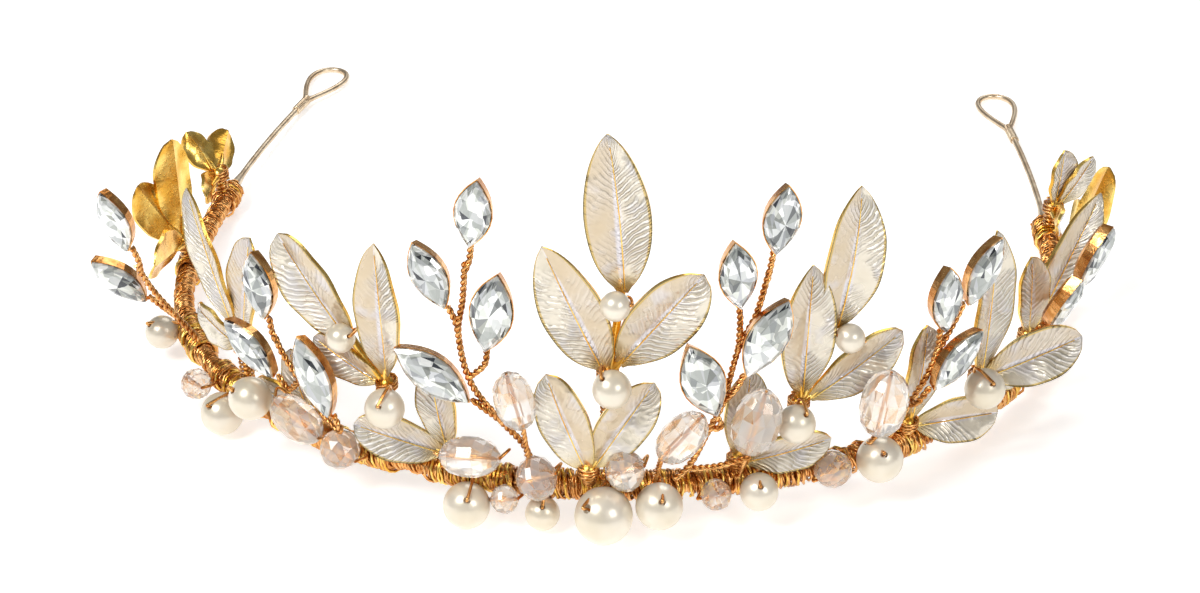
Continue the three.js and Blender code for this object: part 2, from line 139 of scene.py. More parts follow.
class Shade:
    """A socket of a material's node tree that can be used in sums like a number."""

    def __init__(self, tree, socket=None):
        self.tree = tree
        self.socket = socket

    def node(self, kind, settings=None, sockets=None, output=0):
        made = self.tree.nodes.new(kind)
        for key, value in (settings or {}).items():
            setattr(made, key, value)
        for key, value in (sockets or {}).items():
            if isinstance(value, Shade):
                self.tree.links.new(value.socket, made.inputs[key])
            else:
                made.inputs[key].default_value = value
        return Shade(self.tree, made.outputs[output])

    def maths(self, operation, first, second=0.0):
        return self.node("ShaderNodeMath", {"operation": operation}, {0: first, 1: second})

    def __add__(self, other):
        return self.maths("ADD", self, other)

    __radd__ = __add__

    def __mul__(self, other):
        return self.maths("MULTIPLY", self, other)

    __rmul__ = __mul__

    def __sub__(self, other):
        return self.maths("SUBTRACT", self, other)

    def __rsub__(self, other):
        return self.maths("SUBTRACT", other, self)

    def __abs__(self):
        return self.maths("ABSOLUTE", self)

    def sine(self):
        return self.maths("SINE", self)

    def band(self, low, high):
        """0 below low, 1 above high, smooth between."""
        return self.node("ShaderNodeMapRange", {"interpolation_type": "SMOOTHSTEP"},
                         {"Value": self, "From Min": low, "From Max": high})

    def blend(self, first, second):
        """Colour first where this is 0, second where it is 1."""
        return self.node("ShaderNodeMix", {"data_type": "RGBA"}, {0: self, 6: first, 7: second}, 2)


def start_material(name):
    """A new material, its node tree and its surface node."""
    material = bpy.data.materials.new(name)
    material.use_nodes = True
    tree = material.node_tree
    return material, Shade(tree), tree.nodes["Principled BSDF"]


def connect(tree, surface, **sockets):
    """Fills the surface's sockets with constants or with links."""
    for key, value in sockets.items():
        target = surface.inputs[key.replace("_", " ")]
        if isinstance(value, Shade):
            tree.links.new(value.socket, target)
        else:
            target.default_value = value


def metal(name, dark, light, roughness, grain, bump):
    """Plated or bare metal, darker in patches, with a fine grain."""
    material, shade, surface = start_material(name)
    place = shade.node("ShaderNodeTexCoord", output=3)
    patch = shade.node("ShaderNodeTexNoise", sockets={"Vector": place, "Scale": grain, "Detail": 3.0})
    fine = shade.node("ShaderNodeTexNoise", sockets={"Vector": place, "Scale": grain * 6, "Detail": 2.0})
    worn = patch.band(0.35, 0.65)
    relief = shade.node("ShaderNodeBump", sockets={"Strength": bump, "Distance": 0.0002, "Height": fine})
    connect(shade.tree, surface, Base_Color=worn.blend((*dark, 1), (*light, 1)), Metallic=1.0,
            Roughness=roughness + fine * 0.16, Normal=relief)
    return material


copper_wire = metal("copper_wire", (0.52, 0.21, 0.05), (0.86, 0.47, 0.17), 0.16, 420.0, 0.15)
pale_wire = metal("pale_wire", (0.62, 0.46, 0.3), (0.82, 0.68, 0.5), 0.3, 300.0, 0.3)


def resample(path, step):
    """The path again, in points an even step apart."""
    lengths = [0.0]
    for before, after in zip(path, path[1:]):
        lengths.append(lengths[-1] + (after - before).length)
    count = max(2, round(lengths[-1] / step))
    points = []
    k = 0
    for i in range(count + 1):
        goal = lengths[-1] * i / count
        while k < len(path) - 2 and lengths[k + 1] < goal:
            k += 1
        share = (goal - lengths[k]) / max(lengths[k + 1] - lengths[k], 1e-9)
        points.append(path[k].lerp(path[k + 1], share))
    return points


def wind(path, offset, pitch, start=0.0, steps=8, wobble=0.0, seed=1):
    """A wire wound round a path, all in metres."""
    points = resample(path, pitch / steps)
    chance = random.Random(seed)
    side = (points[1] - points[0]).orthogonal().normalized()
    run = []
    drift = 0.0
    for i, point in enumerate(points):
        ahead = (points[min(i + 1, len(points) - 1)] - points[max(i - 1, 0)]).normalized()
        side = (side - ahead * side.dot(ahead)).normalized()
        drift = drift * 0.7 + chance.uniform(-wobble, wobble)
        angle = start + 2 * math.pi * i / steps
        spoke = side * math.cos(angle) + ahead.cross(side) * math.sin(angle)
        run.append(point + spoke * offset + ahead * drift)
    return run


def wire(name, runs, radius, material, body=None, round_steps=1):
    """Round wire along runs of points; a point may carry its own share of the radius."""
    curve = bpy.data.curves.new(name, "CURVE")
    curve.dimensions = "3D"
    curve.bevel_depth = radius
    curve.bevel_resolution = round_steps
    curve.use_fill_caps = True
    for run in runs:
        spline = curve.splines.new("POLY")
        spline.points.add(len(run) - 1)
        for knot, point in zip(spline.points, run):
            place, share = point if isinstance(point, tuple) else (point, 1.0)
            knot.co = (*place, 1)
            knot.radius = share
    piece = bpy.data.objects.new(name, curve)
    bpy.context.collection.objects.link(piece)
    bpy.ops.object.select_all(action="DESELECT")
    piece.select_set(True)
    bpy.context.view_layer.objects.active = piece
    bpy.ops.object.convert(target="MESH")
    bpy.ops.object.shade_smooth()
    piece = bpy.context.object
    piece.data.materials.clear()
    piece.data.materials.append(material)
    if body:
        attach(piece, body)
    return piece


def merge(name, pieces):
    """Joins the pieces into one object of this name."""
    bpy.ops.object.select_all(action="DESELECT")
    for piece in pieces:
        piece.select_set(True)
    bpy.context.view_layer.objects.active = pieces[0]
    if len(pieces) > 1:
        bpy.ops.object.join()
    joined = bpy.context.object
    joined.name = name
    joined.data.name = name
    return joined


frame["nodes"]["front_band"].data.materials.clear()
frame["nodes"]["front_band"].data.materials.append(copper_wire)
LEFT_FLEX_STATION = -61.0
RIGHT_FLEX_STATION = 54.0
FLEX_GAP = 0.6
BOUND_HALF_LENGTH = 153.0
TAIL_RADIUS = 0.6
ROD_SHARE = 0.86
NECK_INSET = 1.5
LOOP_HALF_WIDTH = 3.8
LOOP_SHORTENING = 0.15
EYE_STEPS = 64
for side, node, start in ((-1, "left_band_arm", LEFT_FLEX_STATION),
                          (1, "right_band_arm", RIGHT_FLEX_STATION)):
    first = abs(start) + FLEX_GAP / 2
    run = []
    station = first
    while station < BAND_LENGTH / 2:
        thin = min(max((station - BOUND_HALF_LENGTH + 2) / 8, 0), 1)
        radius = BAND_RADIUS * ROD_SHARE * (1 - thin) + TAIL_RADIUS * thin
        run.append((on_band(side * station), radius))
        station += 2.5
    neck, along = band_place(side * BAND_LENGTH / 2)
    along = along * side
    across = Vector((along.y, -along.x, 0))
    run.append((to_frame @ (neck - along * NECK_INSET), TAIL_RADIUS * 0.95))
    bend = []
    for i in range(EYE_STEPS + 1):
        angle = 2 * math.pi * i / EYE_STEPS
        eye_length = LOOP_LENGTH + NECK_INSET - LOOP_SHORTENING
        reach = -NECK_INSET + eye_length * (1 - math.cos(angle)) / 2
        half = LOOP_HALF_WIDTH * 1.3 * math.sin(angle) * math.sin(angle / 2) ** 1.5
        bend.append(to_frame @ (neck + along * reach + across * half))
    rod = wire(node + "_rod", [run], MM, pale_wire, round_steps=3)
    eye_wire = wire(node + "_eye", [bend], (LOOP_WIRE_RADIUS - 0.1) * MM, pale_wire, round_steps=2)
    neck_path = [on_band(side * (BAND_LENGTH / 2 - 6)), to_frame @ neck]
    neck_turns = wind(neck_path, 0.74 * MM, 0.5 * MM, wobble=0.03 * MM)
    neck_wrap = wire(node + "_neck", [neck_turns], 0.18 * MM, pale_wire)
    arm = merge(node + "_wire", [rod, eye_wire, neck_wrap])
    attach(arm, body_of[node])
    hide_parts(node)

# Each half of the band is wound close, then loosely over that, then loosely back
BIND_WIRE = 0.27
BLEND_REACH = 5
for side, body, seam in ((-1, "left_arm", LEFT_FLEX_STATION), (1, "right_arm", RIGHT_FLEX_STATION)):
    path = [on_band(side * step * 0.5) for step in range(int(BOUND_HALF_LENGTH * 2) + 1)]
    close = wind(path, (BAND_RADIUS - 0.12) * MM, 0.66 * MM, steps=9, wobble=0.05 * MM, seed=3 + side)
    loose = wind(path, (BAND_RADIUS + 0.14) * MM, 3.1 * MM, start=1.0, steps=12, wobble=0.14 * MM,
                 seed=8 + side)
    crossed = wind(path[::-1], (BAND_RADIUS + 0.2) * MM, 4.7 * MM, start=2.0, steps=12,
                   wobble=0.16 * MM, seed=12 + side)
    binding = wire(body + "_binding", [close, loose, crossed], BIND_WIRE * MM, copper_wire)
    tuple(on_band(seam - side * BLEND_REACH))
    tuple(on_band(seam + side * BLEND_REACH))
    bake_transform(binding)


# ---- Leaf sprays ----
# Cast leaves folded along the midrib, pearly enamel over ribbed veins in front, bare yellow gold at the
# rim and back. The enamel has painted light: one half of each leaf is painted lighter as if lit, the
# other darker as if in shade, and painted shade darkens the vein grooves. Two or three are brazed to a
# round hub whose foot is bound to the band.
LEAF_THICKNESS = 0.7
LEAF_FOLD = math.tan(math.radians(16))
LEAF_CURL = -1.2
HUB_BALL_RADIUS = 1.45
SEAT_CLEARANCE = 0.3
VEIN_COUNT = 22
VEINED_LENGTH = 26
VEIN_SLANT = 4.6
yellow_gold = metal("yellow_gold", (0.78, 0.42, 0.06), (0.98, 0.7, 0.2), 0.2, 260.0, 0.3)

enamel, shade, surface = start_material("pearl_enamel")
uv = shade.node("ShaderNodeUVMap", {"uv_map": "leaf"})
across = shade.node("ShaderNodeSeparateXYZ", sockets={0: uv})
along = Shade(shade.tree, across.socket.node.outputs[1])
spread = abs(across * 2 - 1)
place = shade.node("ShaderNodeTexCoord", output=3)
cloud = shade.node("ShaderNodeTexNoise", sockets={"Vector": place, "Scale": 130.0, "Detail": 3.0})
streak = shade.node("ShaderNodeTexNoise", sockets={"Vector": place, "Scale": 260.0, "Detail": 2.0})
flow = along * VEIN_COUNT - spread * VEIN_SLANT + streak * 2.2 + spread * spread * 0.8
vein = (flow * (2 * math.pi)).sine().band(-0.8, 1.0)
# Painted light: the half of each leaf on its lit_side is painted lighter, as if lit, and the other half
# darker, as if in shade. The veins are painted stronger on the lit half.
lit_half = across.band(0.45, 0.55)
strength = cloud.band(0.36, 0.6) * (0.3 + lit_half * 0.7)
painted_shade_half = cloud.band(0.35, 0.65).blend((0.62, 0.5, 0.34, 1), (0.72, 0.63, 0.52, 1))
painted_lit_half = cloud.band(0.3, 0.7).blend((0.74, 0.67, 0.54, 1), (0.88, 0.84, 0.78, 1))
nacre_and_painted_halves = shade.node("ShaderNodeMix", {"data_type": "RGBA"}, {0: lit_half, 6: painted_shade_half, 7: painted_lit_half}, 2)
# Painted shade: the vein grooves are darkened as if shade lay in them, most on the lit half.
painted_groove_shade = vein.blend((0.44, 0.38, 0.24, 1), (1.0, 1.0, 1.0, 1))
veined = shade.node("ShaderNodeMix", {"data_type": "RGBA", "blend_type": "MULTIPLY"},
                    {0: strength * 0.7, 6: nacre_and_painted_halves, 7: painted_groove_shade}, 2)
lilac = shade.node("ShaderNodeMix", {"data_type": "RGBA"},
                   {0: streak.band(0.5, 0.7) * 0.45, 6: veined, 7: (0.68, 0.66, 0.7, 1)}, 2)
strip = 1 - (spread + along * 0.16).band(0.14, 0.24)
with_rib = shade.node("ShaderNodeMix", {"data_type": "RGBA"},
                      {0: strip * 0.8, 6: lilac, 7: (0.74, 0.72, 0.78, 1)}, 2)
rim = spread.band(0.88, 0.93)
foot_gold = 1 - along.band(0.02, 0.2)
gilt = shade.maths("MAXIMUM", rim * 0.9, foot_gold * 0.8)
gilded = shade.node("ShaderNodeMix", {"data_type": "RGBA"},
                    {0: gilt, 6: with_rib, 7: (0.55, 0.38, 0.1, 1)}, 2)
outline = spread.band(0.95, 0.98)
coloured = shade.node("ShaderNodeMix", {"data_type": "RGBA"},
                      {0: outline * 0.85, 6: gilded, 7: (0.13, 0.11, 0.05, 1)}, 2)
relief = shade.node("ShaderNodeBump", sockets={"Strength": 1.0, "Distance": 0.00035,
                                               "Height": vein * strength + streak * 1.3 + cloud * 1.5})
connect(shade.tree, surface, Base_Color=coloured, Metallic=0.4 + gilt * 0.55,
        Roughness=0.18 + streak * 0.18, Normal=relief, Coat_Weight=0.6)

bpy.ops.object.select_all(action="DESELECT")
bpy.ops.mesh.primitive_grid_add(x_subdivisions=16, y_subdivisions=26, size=2)
blank = bpy.context.object
blank.name = "leaf_blank"
blank.data.uv_layers[0].name = "leaf"
blank.data.materials.append(enamel)
blank.data.materials.append(yellow_gold)
plate = blank.modifiers.new("plate", "SOLIDIFY")
plate.thickness = 1.0
plate.offset = -1.0
plate.use_even_offset = False
plate.material_offset = 1
plate.material_offset_rim = 1
bpy.ops.object.modifier_apply(modifier="plate")


TALL_LEAF = 24
TALL_TIP = 0.72
LOW_TIP = 0.54


def leaf(length, width, sway, lit_side, tip):
    """A leaf blade in millimetres, its root at the origin and its tip up Y; a low tip value is blunt."""
    widest = 0.7 / (0.7 + tip)
    fullest = widest ** 0.7 * (1 - widest) ** tip
    mesh = blank.data.copy()
    for corner in mesh.uv_layers["leaf"].data:
        # The painted lit half of the enamel is put on the leaf's lit_side.
        corner.uv = (corner.uv.x if lit_side > 0 else 1 - corner.uv.x, corner.uv.y * length / VEINED_LENGTH)
    for vertex in mesh.vertices:
        share, along, depth = vertex.co.x, (vertex.co.y + 1) / 2, vertex.co.z
        swell = along ** 0.7 * (1 - along) ** tip / fullest if 0 < along < 1 else 0.0
        half = width / 2 * max(swell, 0.16 + (0.03 - 0.16) * along)
        x = share * half
        crown = 0.32 * math.sin(math.pi * min(abs(share), 1)) * swell
        ripple = 0.16 * abs(share) * math.sin(along * 17 + share * 2)
        z = abs(x) * LEAF_FOLD + LEAF_CURL * along ** 2 + crown + ripple
        z += depth * LEAF_THICKNESS * (0.35 + 0.65 * swell) + 0.3
        vertex.co = (x + sway * along ** 2.5, along * length, z)
    piece = bpy.data.objects.new("leaf", mesh)
    bpy.context.collection.objects.link(piece)
    bpy.ops.object.select_all(action="DESELECT")
    piece.select_set(True)
    bpy.context.view_layer.objects.active = piece
    bpy.ops.object.shade_smooth_by_angle(angle=math.radians(50))
    return piece


def pose(tilt, flare=0.0, spin=0.0):
    """A turn of something upright: over sideways, out from the wall, then about its own length."""
    return (Matrix.Rotation(-math.radians(tilt), 4, "Z")
            @ Matrix.Rotation(math.radians(flare), 4, "X")
            @ Matrix.Rotation(math.radians(spin), 4, "Y"))


def wall(station, height=0.0, out=0.0):
    """Millimetres on the leaning wall, at a station along the band, to the frame."""
    return to_frame @ plan_wall(station, height, out)


# Each spray: its hub on the wall, then stalk, length, width, tilt, flare, roll and bend of each leaf
SPRAYS = {
    "centre_top_spray": ((5.5, 20.5, -1), [(16, 28.4, 11, 9, 0, 0, -11), (1, 25.5, 10.5, -24, 4, 0, 0),
                                           (3, 22, 11, 38, 4, 0, 0)]),
    "centre_low_spray": ((2.5, 3.5, 2), [(0, 19, 8.5, -23, 0, 0, 0), (1, 18.5, 8.5, 33, -3, 0, 0)]),
    "left_mid_spray": ((-32, 13.5, -1), [(9, 22, 10.5, -40, 0, 0, 0), (2, 25.5, 8.5, 1, 3, 0, 0),
                                         (1, 14, 7, -68, 2, 0, 0)]),
    "left_low_spray": ((-21, 2.5, -1), [(1, 15, 7, -14, 0, 0, 0), (1, 16, 8, -76, 12, 14, 0)]),
    "left_side_low_spray": ((-48, 2.5, -1), [(1, 11, 6, -26, 0, 0, 0), (1, 13, 7, -84, 0, 0, 0)]),
    "left_side_spray": ((-66, 8.5, -2), [(4, 26, 9, -16, 4, 0, 0), (2, 23, 8, 16, 0, 0, 0),
                                         (1, 13, 7, -82, 4, 0, 0)]),
    "left_far_spray": ((-119, 3.5, -1.5), [(1, 18.5, 8.5, -12, 0, -35, 0), (1, 14, 8, 14, 26, -30, 0),
                                           (1, 17, 9, 76, 8, -25, 0)]),
    "left_end_spray": ((-147, 4, -1.5), [(1, 11, 6.5, -72, 8, -30, 0), (1, 9, 6, -14, 34, -35, 0),
                                         (1, 9, 5.5, 88, 4, 0, 0)]),
    "right_mid_spray": ((37, 12.5, -1), [(15, 26, 10.5, 22, 0, 0, -10), (2, 25, 9.5, 1, 3, 0, 0),
                                         (2, 19, 9, 62, 0, 0, 0)]),
    "right_low_spray": ((27, 2.5, -1.2), [(1, 16, 7.5, 6, 0, 0, 0), (1, 15, 7.5, 77, 12, 0, 0)]),
    "right_side_low_spray": ((58.5, 2.5, -1), [(1, 17, 7.5, 14, -4, 0, 0), (1, 17, 8.5, 94, 12, -10, 0)]),
    "right_side_spray": ((74, 6.5, -0.5), [(1, 28, 10, 0, 0, 0, 0), (1, 18, 9.5, 62, 34, -34, 0),
                                           (1, 10, 6, 100, 12, 0, 0)]),
    "right_far_spray": ((93, 5.5, -2), [(1, 27, 9, 36, 6, -35, 0), (1, 17, 7, -14, 0, -25, 0),
                                        (1, 14, 7, 84, 8, 0, 0)]),
    "right_back_spray": ((121, 4.5, -1.5), [(1, 21, 7.6, 4, 14, 35, 0), (1, 15, 7.5, 60, 8, 0, 0),
                                            (1, 12, 7, -66, 0, 0, 0)]),
    "right_end_spray": ((148, 4, -1.5), [(1, 11, 7, -8, 0, -45, 0), (1, 11, 6.5, 14, 32, -45, 0),
                                         (1, 9, 5.5, -88, 4, 0, 0)]),
}
chance = random.Random(5)
for node, (seat, leaves) in SPRAYS.items():
    frame_here = wall(*seat)
    parts = []
    ribs = []
    stalks = []
    for stalk, length, width, tilt, flare, roll, bend in leaves:
        lean = pose(tilt, flare)
        root = lean @ Vector((0, stalk, 0))
        blade_pose = frame_here @ Matrix.Translation(root) @ pose(tilt + bend, flare, roll)
        tip = TALL_TIP if length > TALL_LEAF else LOW_TIP
        sway = chance.uniform(-0.6, 0.6) + (0.8 if bend else 0) * math.copysign(2, bend)
        blade = leaf(length, width, sway, 1 if tilt >= 0 else -1, tip)
        blade.data.transform(blade_pose)
        parts.append(blade)
        rib = []
        for i in range(13):
            t = 0.02 + 0.9 * i / 12
            beside = (0.4 if tilt >= 0 else -0.4) * (1 - t) + sway * t ** 2.5
            on_blade = Vector((beside, t * length, LEAF_CURL * t ** 2 + 0.4))
            rib.append((blade_pose @ on_blade, 1.15 - 0.75 * t))
        ribs.append(rib)
        stalks.append([(frame_here @ (lean @ Vector((0, 0, 0.1))), 1.0), (frame_here @ (root * 0.9), 0.85),
                       (blade_pose @ Vector((0, 1.6, -0.35)), 0.8),
                       (blade_pose @ Vector((0, 4.2, -0.5)), 0.35)])
    foot = Vector((0, -BAND_RADIUS - seat[1], -BAND_RADIUS - seat[2]))
    foot *= 1 - (BAND_RADIUS + SEAT_CLEARANCE) / foot.length
    stalks.append([(frame_here.translation, 1.0), (frame_here @ (foot * 0.5), 0.8),
                   (frame_here @ foot, 1.0)])
    parts.append(wire("ribs", ribs, 0.15 * MM, yellow_gold))
    parts.append(wire("stalks", stalks, 0.85 * MM, yellow_gold))
    bpy.ops.object.select_all(action="DESELECT")
    bpy.ops.mesh.primitive_uv_sphere_add(segments=20, ring_count=12, radius=HUB_BALL_RADIUS)
    hub = bpy.context.object
    bpy.ops.object.shade_smooth()
    hub.data.materials.append(yellow_gold)
    hub.data.transform(frame_here)
    parts.append(hub)
    down = [frame_here @ Vector((0, 1.2, 0)), frame_here @ Vector((0, -0.6, 0)), frame_here @ (foot * 0.9)]
    turns = [wind(down, 1.15 * MM, 0.85 * MM, steps=9, wobble=0.08 * MM, seed=len(node)),
             wind(down[:2], 1.75 * MM, 0.6 * MM, start=1.5, steps=12, wobble=0.12 * MM,
                  seed=len(node) + 1)]
    parts.append(wire("hub_binding", turns, 0.24 * MM, copper_wire))
    spray = merge(node + "_leaves", parts)
    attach(spray, body_of[node])
    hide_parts(node)
bpy.data.objects.remove(blank)


# ---- Stone branches ----
# Two copper wires twisted together, forking to a thin pressed cup at each end. Each cup holds a clear
# pointed stone cut in flat facets, with silver foil behind it. The light and dark that the foil throws
# back is painted on: each facet gets a painted reflection, lighter or darker, broken up in small cells.
SMALL_STONE = (12.5, 6.2)
LARGE_STONE = (15.0, 7.2)
STONE_GIRDLE = 0.8
STONE_CROWN = 1.3
CUP_POINT_WALL = 0.9
CUP_DEPTH = STONE_GIRDLE / 2 + STONE_CROWN + SEAT_CLEARANCE + 0.6
STEM_FOOT = SEAT_CLEARANCE + 0.6

foil_stone, shade, surface = start_material("foiled_stone")
tone = shade.node("ShaderNodeAttribute", {"attribute_name": "facet"})
place = shade.node("ShaderNodeTexCoord", output=3)
flaw = shade.node("ShaderNodeTexNoise", sockets={"Vector": place, "Scale": 900.0, "Detail": 1.0})
painted_reflection_cells = shade.node("ShaderNodeTexVoronoi", sockets={"Vector": place, "Scale": 620.0}, output=1)
# Painted reflection: the facet tones, broken up in small cells, are painted into the colour as the light
# and dark that the foil throws back.
painted_glint = shade.node("ShaderNodeMix", {"data_type": "RGBA", "blend_type": "MULTIPLY"},
                   {0: 0.75, 6: tone,
                    7: painted_reflection_cells.band(0.3, 0.7).blend((0.42, 0.44, 0.44, 1), (1.15, 1.15, 1.12, 1))}, 2)
connect(shade.tree, surface, Base_Color=painted_glint, Metallic=0.35, Roughness=0.03 + flaw * 0.04,
        Coat_Weight=1.0, Coat_Roughness=0.02)
# Painted reflections given to the facets: bright ones and dark ones.
PAINTED_BRIGHT_FACETS = [(0.86, 0.87, 0.86), (0.76, 0.78, 0.74), (0.92, 0.92, 0.91), (0.64, 0.66, 0.62),
              (0.82, 0.83, 0.85), (0.88, 0.89, 0.88), (0.7, 0.72, 0.68)]
PAINTED_DARK_FACETS = [(0.42, 0.44, 0.43), (0.22, 0.23, 0.23), (0.5, 0.51, 0.53), (0.33, 0.34, 0.31),
             (0.05, 0.055, 0.065), (0.56, 0.57, 0.53)]


def pointed(piece, length, width):
    """Draws a round outline of unit radius out into a boat shape."""
    for vertex in piece.data.vertices:
        angle = math.atan2(vertex.co.y, vertex.co.x)
        vertex.co.y = length / 2 * math.sin(angle)
        vertex.co.x = math.copysign(width / 2 * math.cos(angle) ** 2, math.cos(angle))


def push(lift, across=1.0, along=None):
    """Extrudes what is selected and draws it in."""
    bpy.ops.mesh.extrude_region_move(TRANSFORM_OT_translate={"value": (0, 0, lift)})
    bpy.ops.transform.resize(value=(across, along or across, 1), center_override=(0, 0, 0))


def blank_stone(name, size):
    """A pointed stone cut in triangles, its girdle round the origin."""
    length, width = size
    bpy.ops.object.select_all(action="DESELECT")
    bpy.ops.mesh.primitive_circle_add(vertices=18, radius=1, fill_type="NGON")
    stone = bpy.context.object
    stone.name = name
    pointed(stone, length, width)
    bpy.ops.object.mode_set(mode="EDIT")
    bpy.ops.mesh.select_all(action="SELECT")
    bpy.ops.transform.translate(value=(0, 0, -STONE_GIRDLE / 2))
    push(STONE_GIRDLE * 0.7)
    push(0.5, 0.84, 0.9)
    push(0.4, 0.78, 0.84)
    push(0.25, 0.68, 0.76)
    bpy.ops.mesh.poke(offset=0.12)
    bpy.ops.mesh.select_all(action="SELECT")
    bpy.ops.mesh.quads_convert_to_tris(quad_method="FIXED", ngon_method="BEAUTY")
    bpy.ops.mesh.normals_make_consistent(inside=False)
    bpy.ops.object.mode_set(mode="OBJECT")
    stone.data.materials.append(foil_stone)
    return stone


def blank_cup(name, size):
    """The thin hollow cup that the stone sits in."""
    length, width = size[0] + 0.1, size[1] + 0.1
    outer_length, outer_width = length + 0.5, width + 0.36
    bpy.ops.object.select_all(action="DESELECT")
    bpy.ops.mesh.primitive_circle_add(vertices=28, radius=1, fill_type="NGON")
    cup = bpy.context.object
    cup.name = name
    pointed(cup, outer_length, outer_width)
    bpy.ops.object.mode_set(mode="EDIT")
    bpy.ops.mesh.select_all(action="SELECT")
    bpy.ops.transform.resize(value=(0.62, 0.72, 1), center_override=(0, 0, 0))
    bpy.ops.transform.translate(value=(0, 0, -CUP_DEPTH))
    push(0.5, 1.36, 1.26)
    push(CUP_DEPTH - 0.75, 1.19, 1.102)
    push(0, width / outer_width, length / outer_length)
    push(-1.4, 0.92, 0.94)
    bpy.ops.mesh.select_all(action="SELECT")
    bpy.ops.mesh.normals_make_consistent(inside=False)
    bpy.ops.object.mode_set(mode="OBJECT")
    cup.data.materials.append(copper_wire)
    return cup


stone_blanks = {size: (blank_stone("stone_blank", size), blank_cup("cup_blank", size))
                for size in (SMALL_STONE, LARGE_STONE)}


def copy_of(master, name, place):
    """A copy with its own mesh, set in its place."""
    mesh = master.data.copy()
    mesh.transform(place)
    piece = bpy.data.objects.new(name, mesh)
    bpy.context.collection.objects.link(piece)
    return piece


def steady_faces(mesh):
    """Face numbers sorted by place: cutting quads into triangles numbers them anew on every run."""
    return sorted(range(len(mesh.polygons)),
                  key=lambda number: tuple(round(c, 3) for c in mesh.polygons[number].center))


def smooth(points, steps=8):
    """A flowing line through the points."""
    ends = [points[0] * 2 - points[1], *points, points[-1] * 2 - points[-2]]
    line = []
    for a, b, c, d in zip(ends, ends[1:], ends[2:], ends[3:]):
        for i in range(steps):
            t = i / steps
            line.append((b * 2 + (c - a) * t + (a * 2 - b * 5 + c * 4 - d) * t ** 2
                         + (b * 3 - a - c * 3 + d) * t ** 3) / 2)
    return line + [points[-1]]


# Each branch: its station and how far out it stands, the points of its stem, its stones and its bare
# twigs. A stone has its size, place, tilt, flare, spin and the point where its twig leaves the stem.
BRANCHES = {
    "left_front": (-14.6, 1.5, [(8.1, STEM_FOOT, -3), (6.4, 6.5, -2), (3.2, 11.5, -0.5), (-1.6, 18.5, 0),
                                (-3.4, 27.5, 0), (-2.4, 34.5, 0), (-1.8, 41.5, 0)], [
        (SMALL_STONE, (0.2, 51.2, 1), 8, 0, 0, (-2, 39.5, 0)),
        (SMALL_STONE, (-7.8, 38.5, 1), -24, 0, 0, (-3.4, 27.5, 0)),
        (LARGE_STONE, (2.8, 33.2, 1.5), 10, 0, 0, (-1.9, 19.5, 0)),
        (LARGE_STONE, (-7.7, 20.2, 2), -55, 0, 0, (3.2, 11.5, -0.5))], []),
    "right_front": (30, 1.5, [(-14, STEM_FOOT, -2), (-11.6, 4.5, -1), (-9, 11.5, 0), (-6.8, 16.5, 0),
                              (-4.6, 26.5, 0), (-1.9, 32.5, 0), (0, 40.5, 0)], [
        (SMALL_STONE, (1.6, 50.5, 1), 8, 0, 0, (-0.3, 38.5, 0)),
        (SMALL_STONE, (-5.5, 41.2, 1.3), -6, 0, 0, (-4.6, 26, 0)),
        (LARGE_STONE, (-0.5, 29.5, 2.9), 26, 0, 0, (-6.8, 16.5, 0)),
        (LARGE_STONE, (-11, 22.4, 2.3), -20, 0, 0, (-9, 11.5, 0))],
        [[(-12, 3, -1.5), (-8, 4.5, 1), (-5, 5.7, 2), (-2.6, 6.6, 2.4)]]),
    "left_mid": (-44, 1.5, [(1, STEM_FOOT, -2.5), (-1, 5.5, -1), (-4, 11, 0), (-7, 15, 0),
                            (-8.6, 18.5, 0)], [
        (SMALL_STONE, (-10.2, 28, 1), -6, 0, 0, (-8, 17, 0)),
        (SMALL_STONE, (-14, 14.4, 1), -48, 0, 0, (-4, 11, 0)),
        (LARGE_STONE, (1.7, 14.9, 3), -20, 0, 0, (-1, 5, -1))], []),
    "right_side": (60, 1.5, [(-5, STEM_FOOT, -3), (-3.6, 7.5, -1), (-1, 13.5, 0), (1, 18.5, 0)], [
        (SMALL_STONE, (0.8, 28.5, 1), -2, 0, 0, (0.6, 17.5, 0)),
        (SMALL_STONE, (8.7, 31.5, 0.8), 26, 0, 0, (0.2, 16.5, 0)),
        (SMALL_STONE, (3.2, 17, 3), 46, 0, 0, (-3.4, 8, -1))], []),
    "left_side": (-88, 3.5, [(3, STEM_FOOT, -5), (2.5, 6.5, -2), (1.5, 12.5, 1), (2, 18.5, 3)], [
        (SMALL_STONE, (3.5, 28.5, 5.5), 0, 12, 40, (1.9, 16.5, 2.5)),
        (SMALL_STONE, (-2, 14, 6), -6, 38, 50, (2.3, 6.5, -2))], []),
    "right_far": (90, 1.5, [(-6, STEM_FOOT, -3), (-4.4, 5.5, -1), (-1, 9.5, -0.8), (3, 13.5, 1.6)], [
        (SMALL_STONE, (7, 23, 4.6), 8, 14, 0, (2.2, 12.6, 1.4)),
        (SMALL_STONE, (-1, 16.5, 3.6), -4, 20, 0, (-4.2, 5.8, -1))], []),
}
TWIST_PITCH = 2.3
TWIST_OFFSET = 0.3
TWIST_WIRE = 0.33
CUTS_ROUND = 14
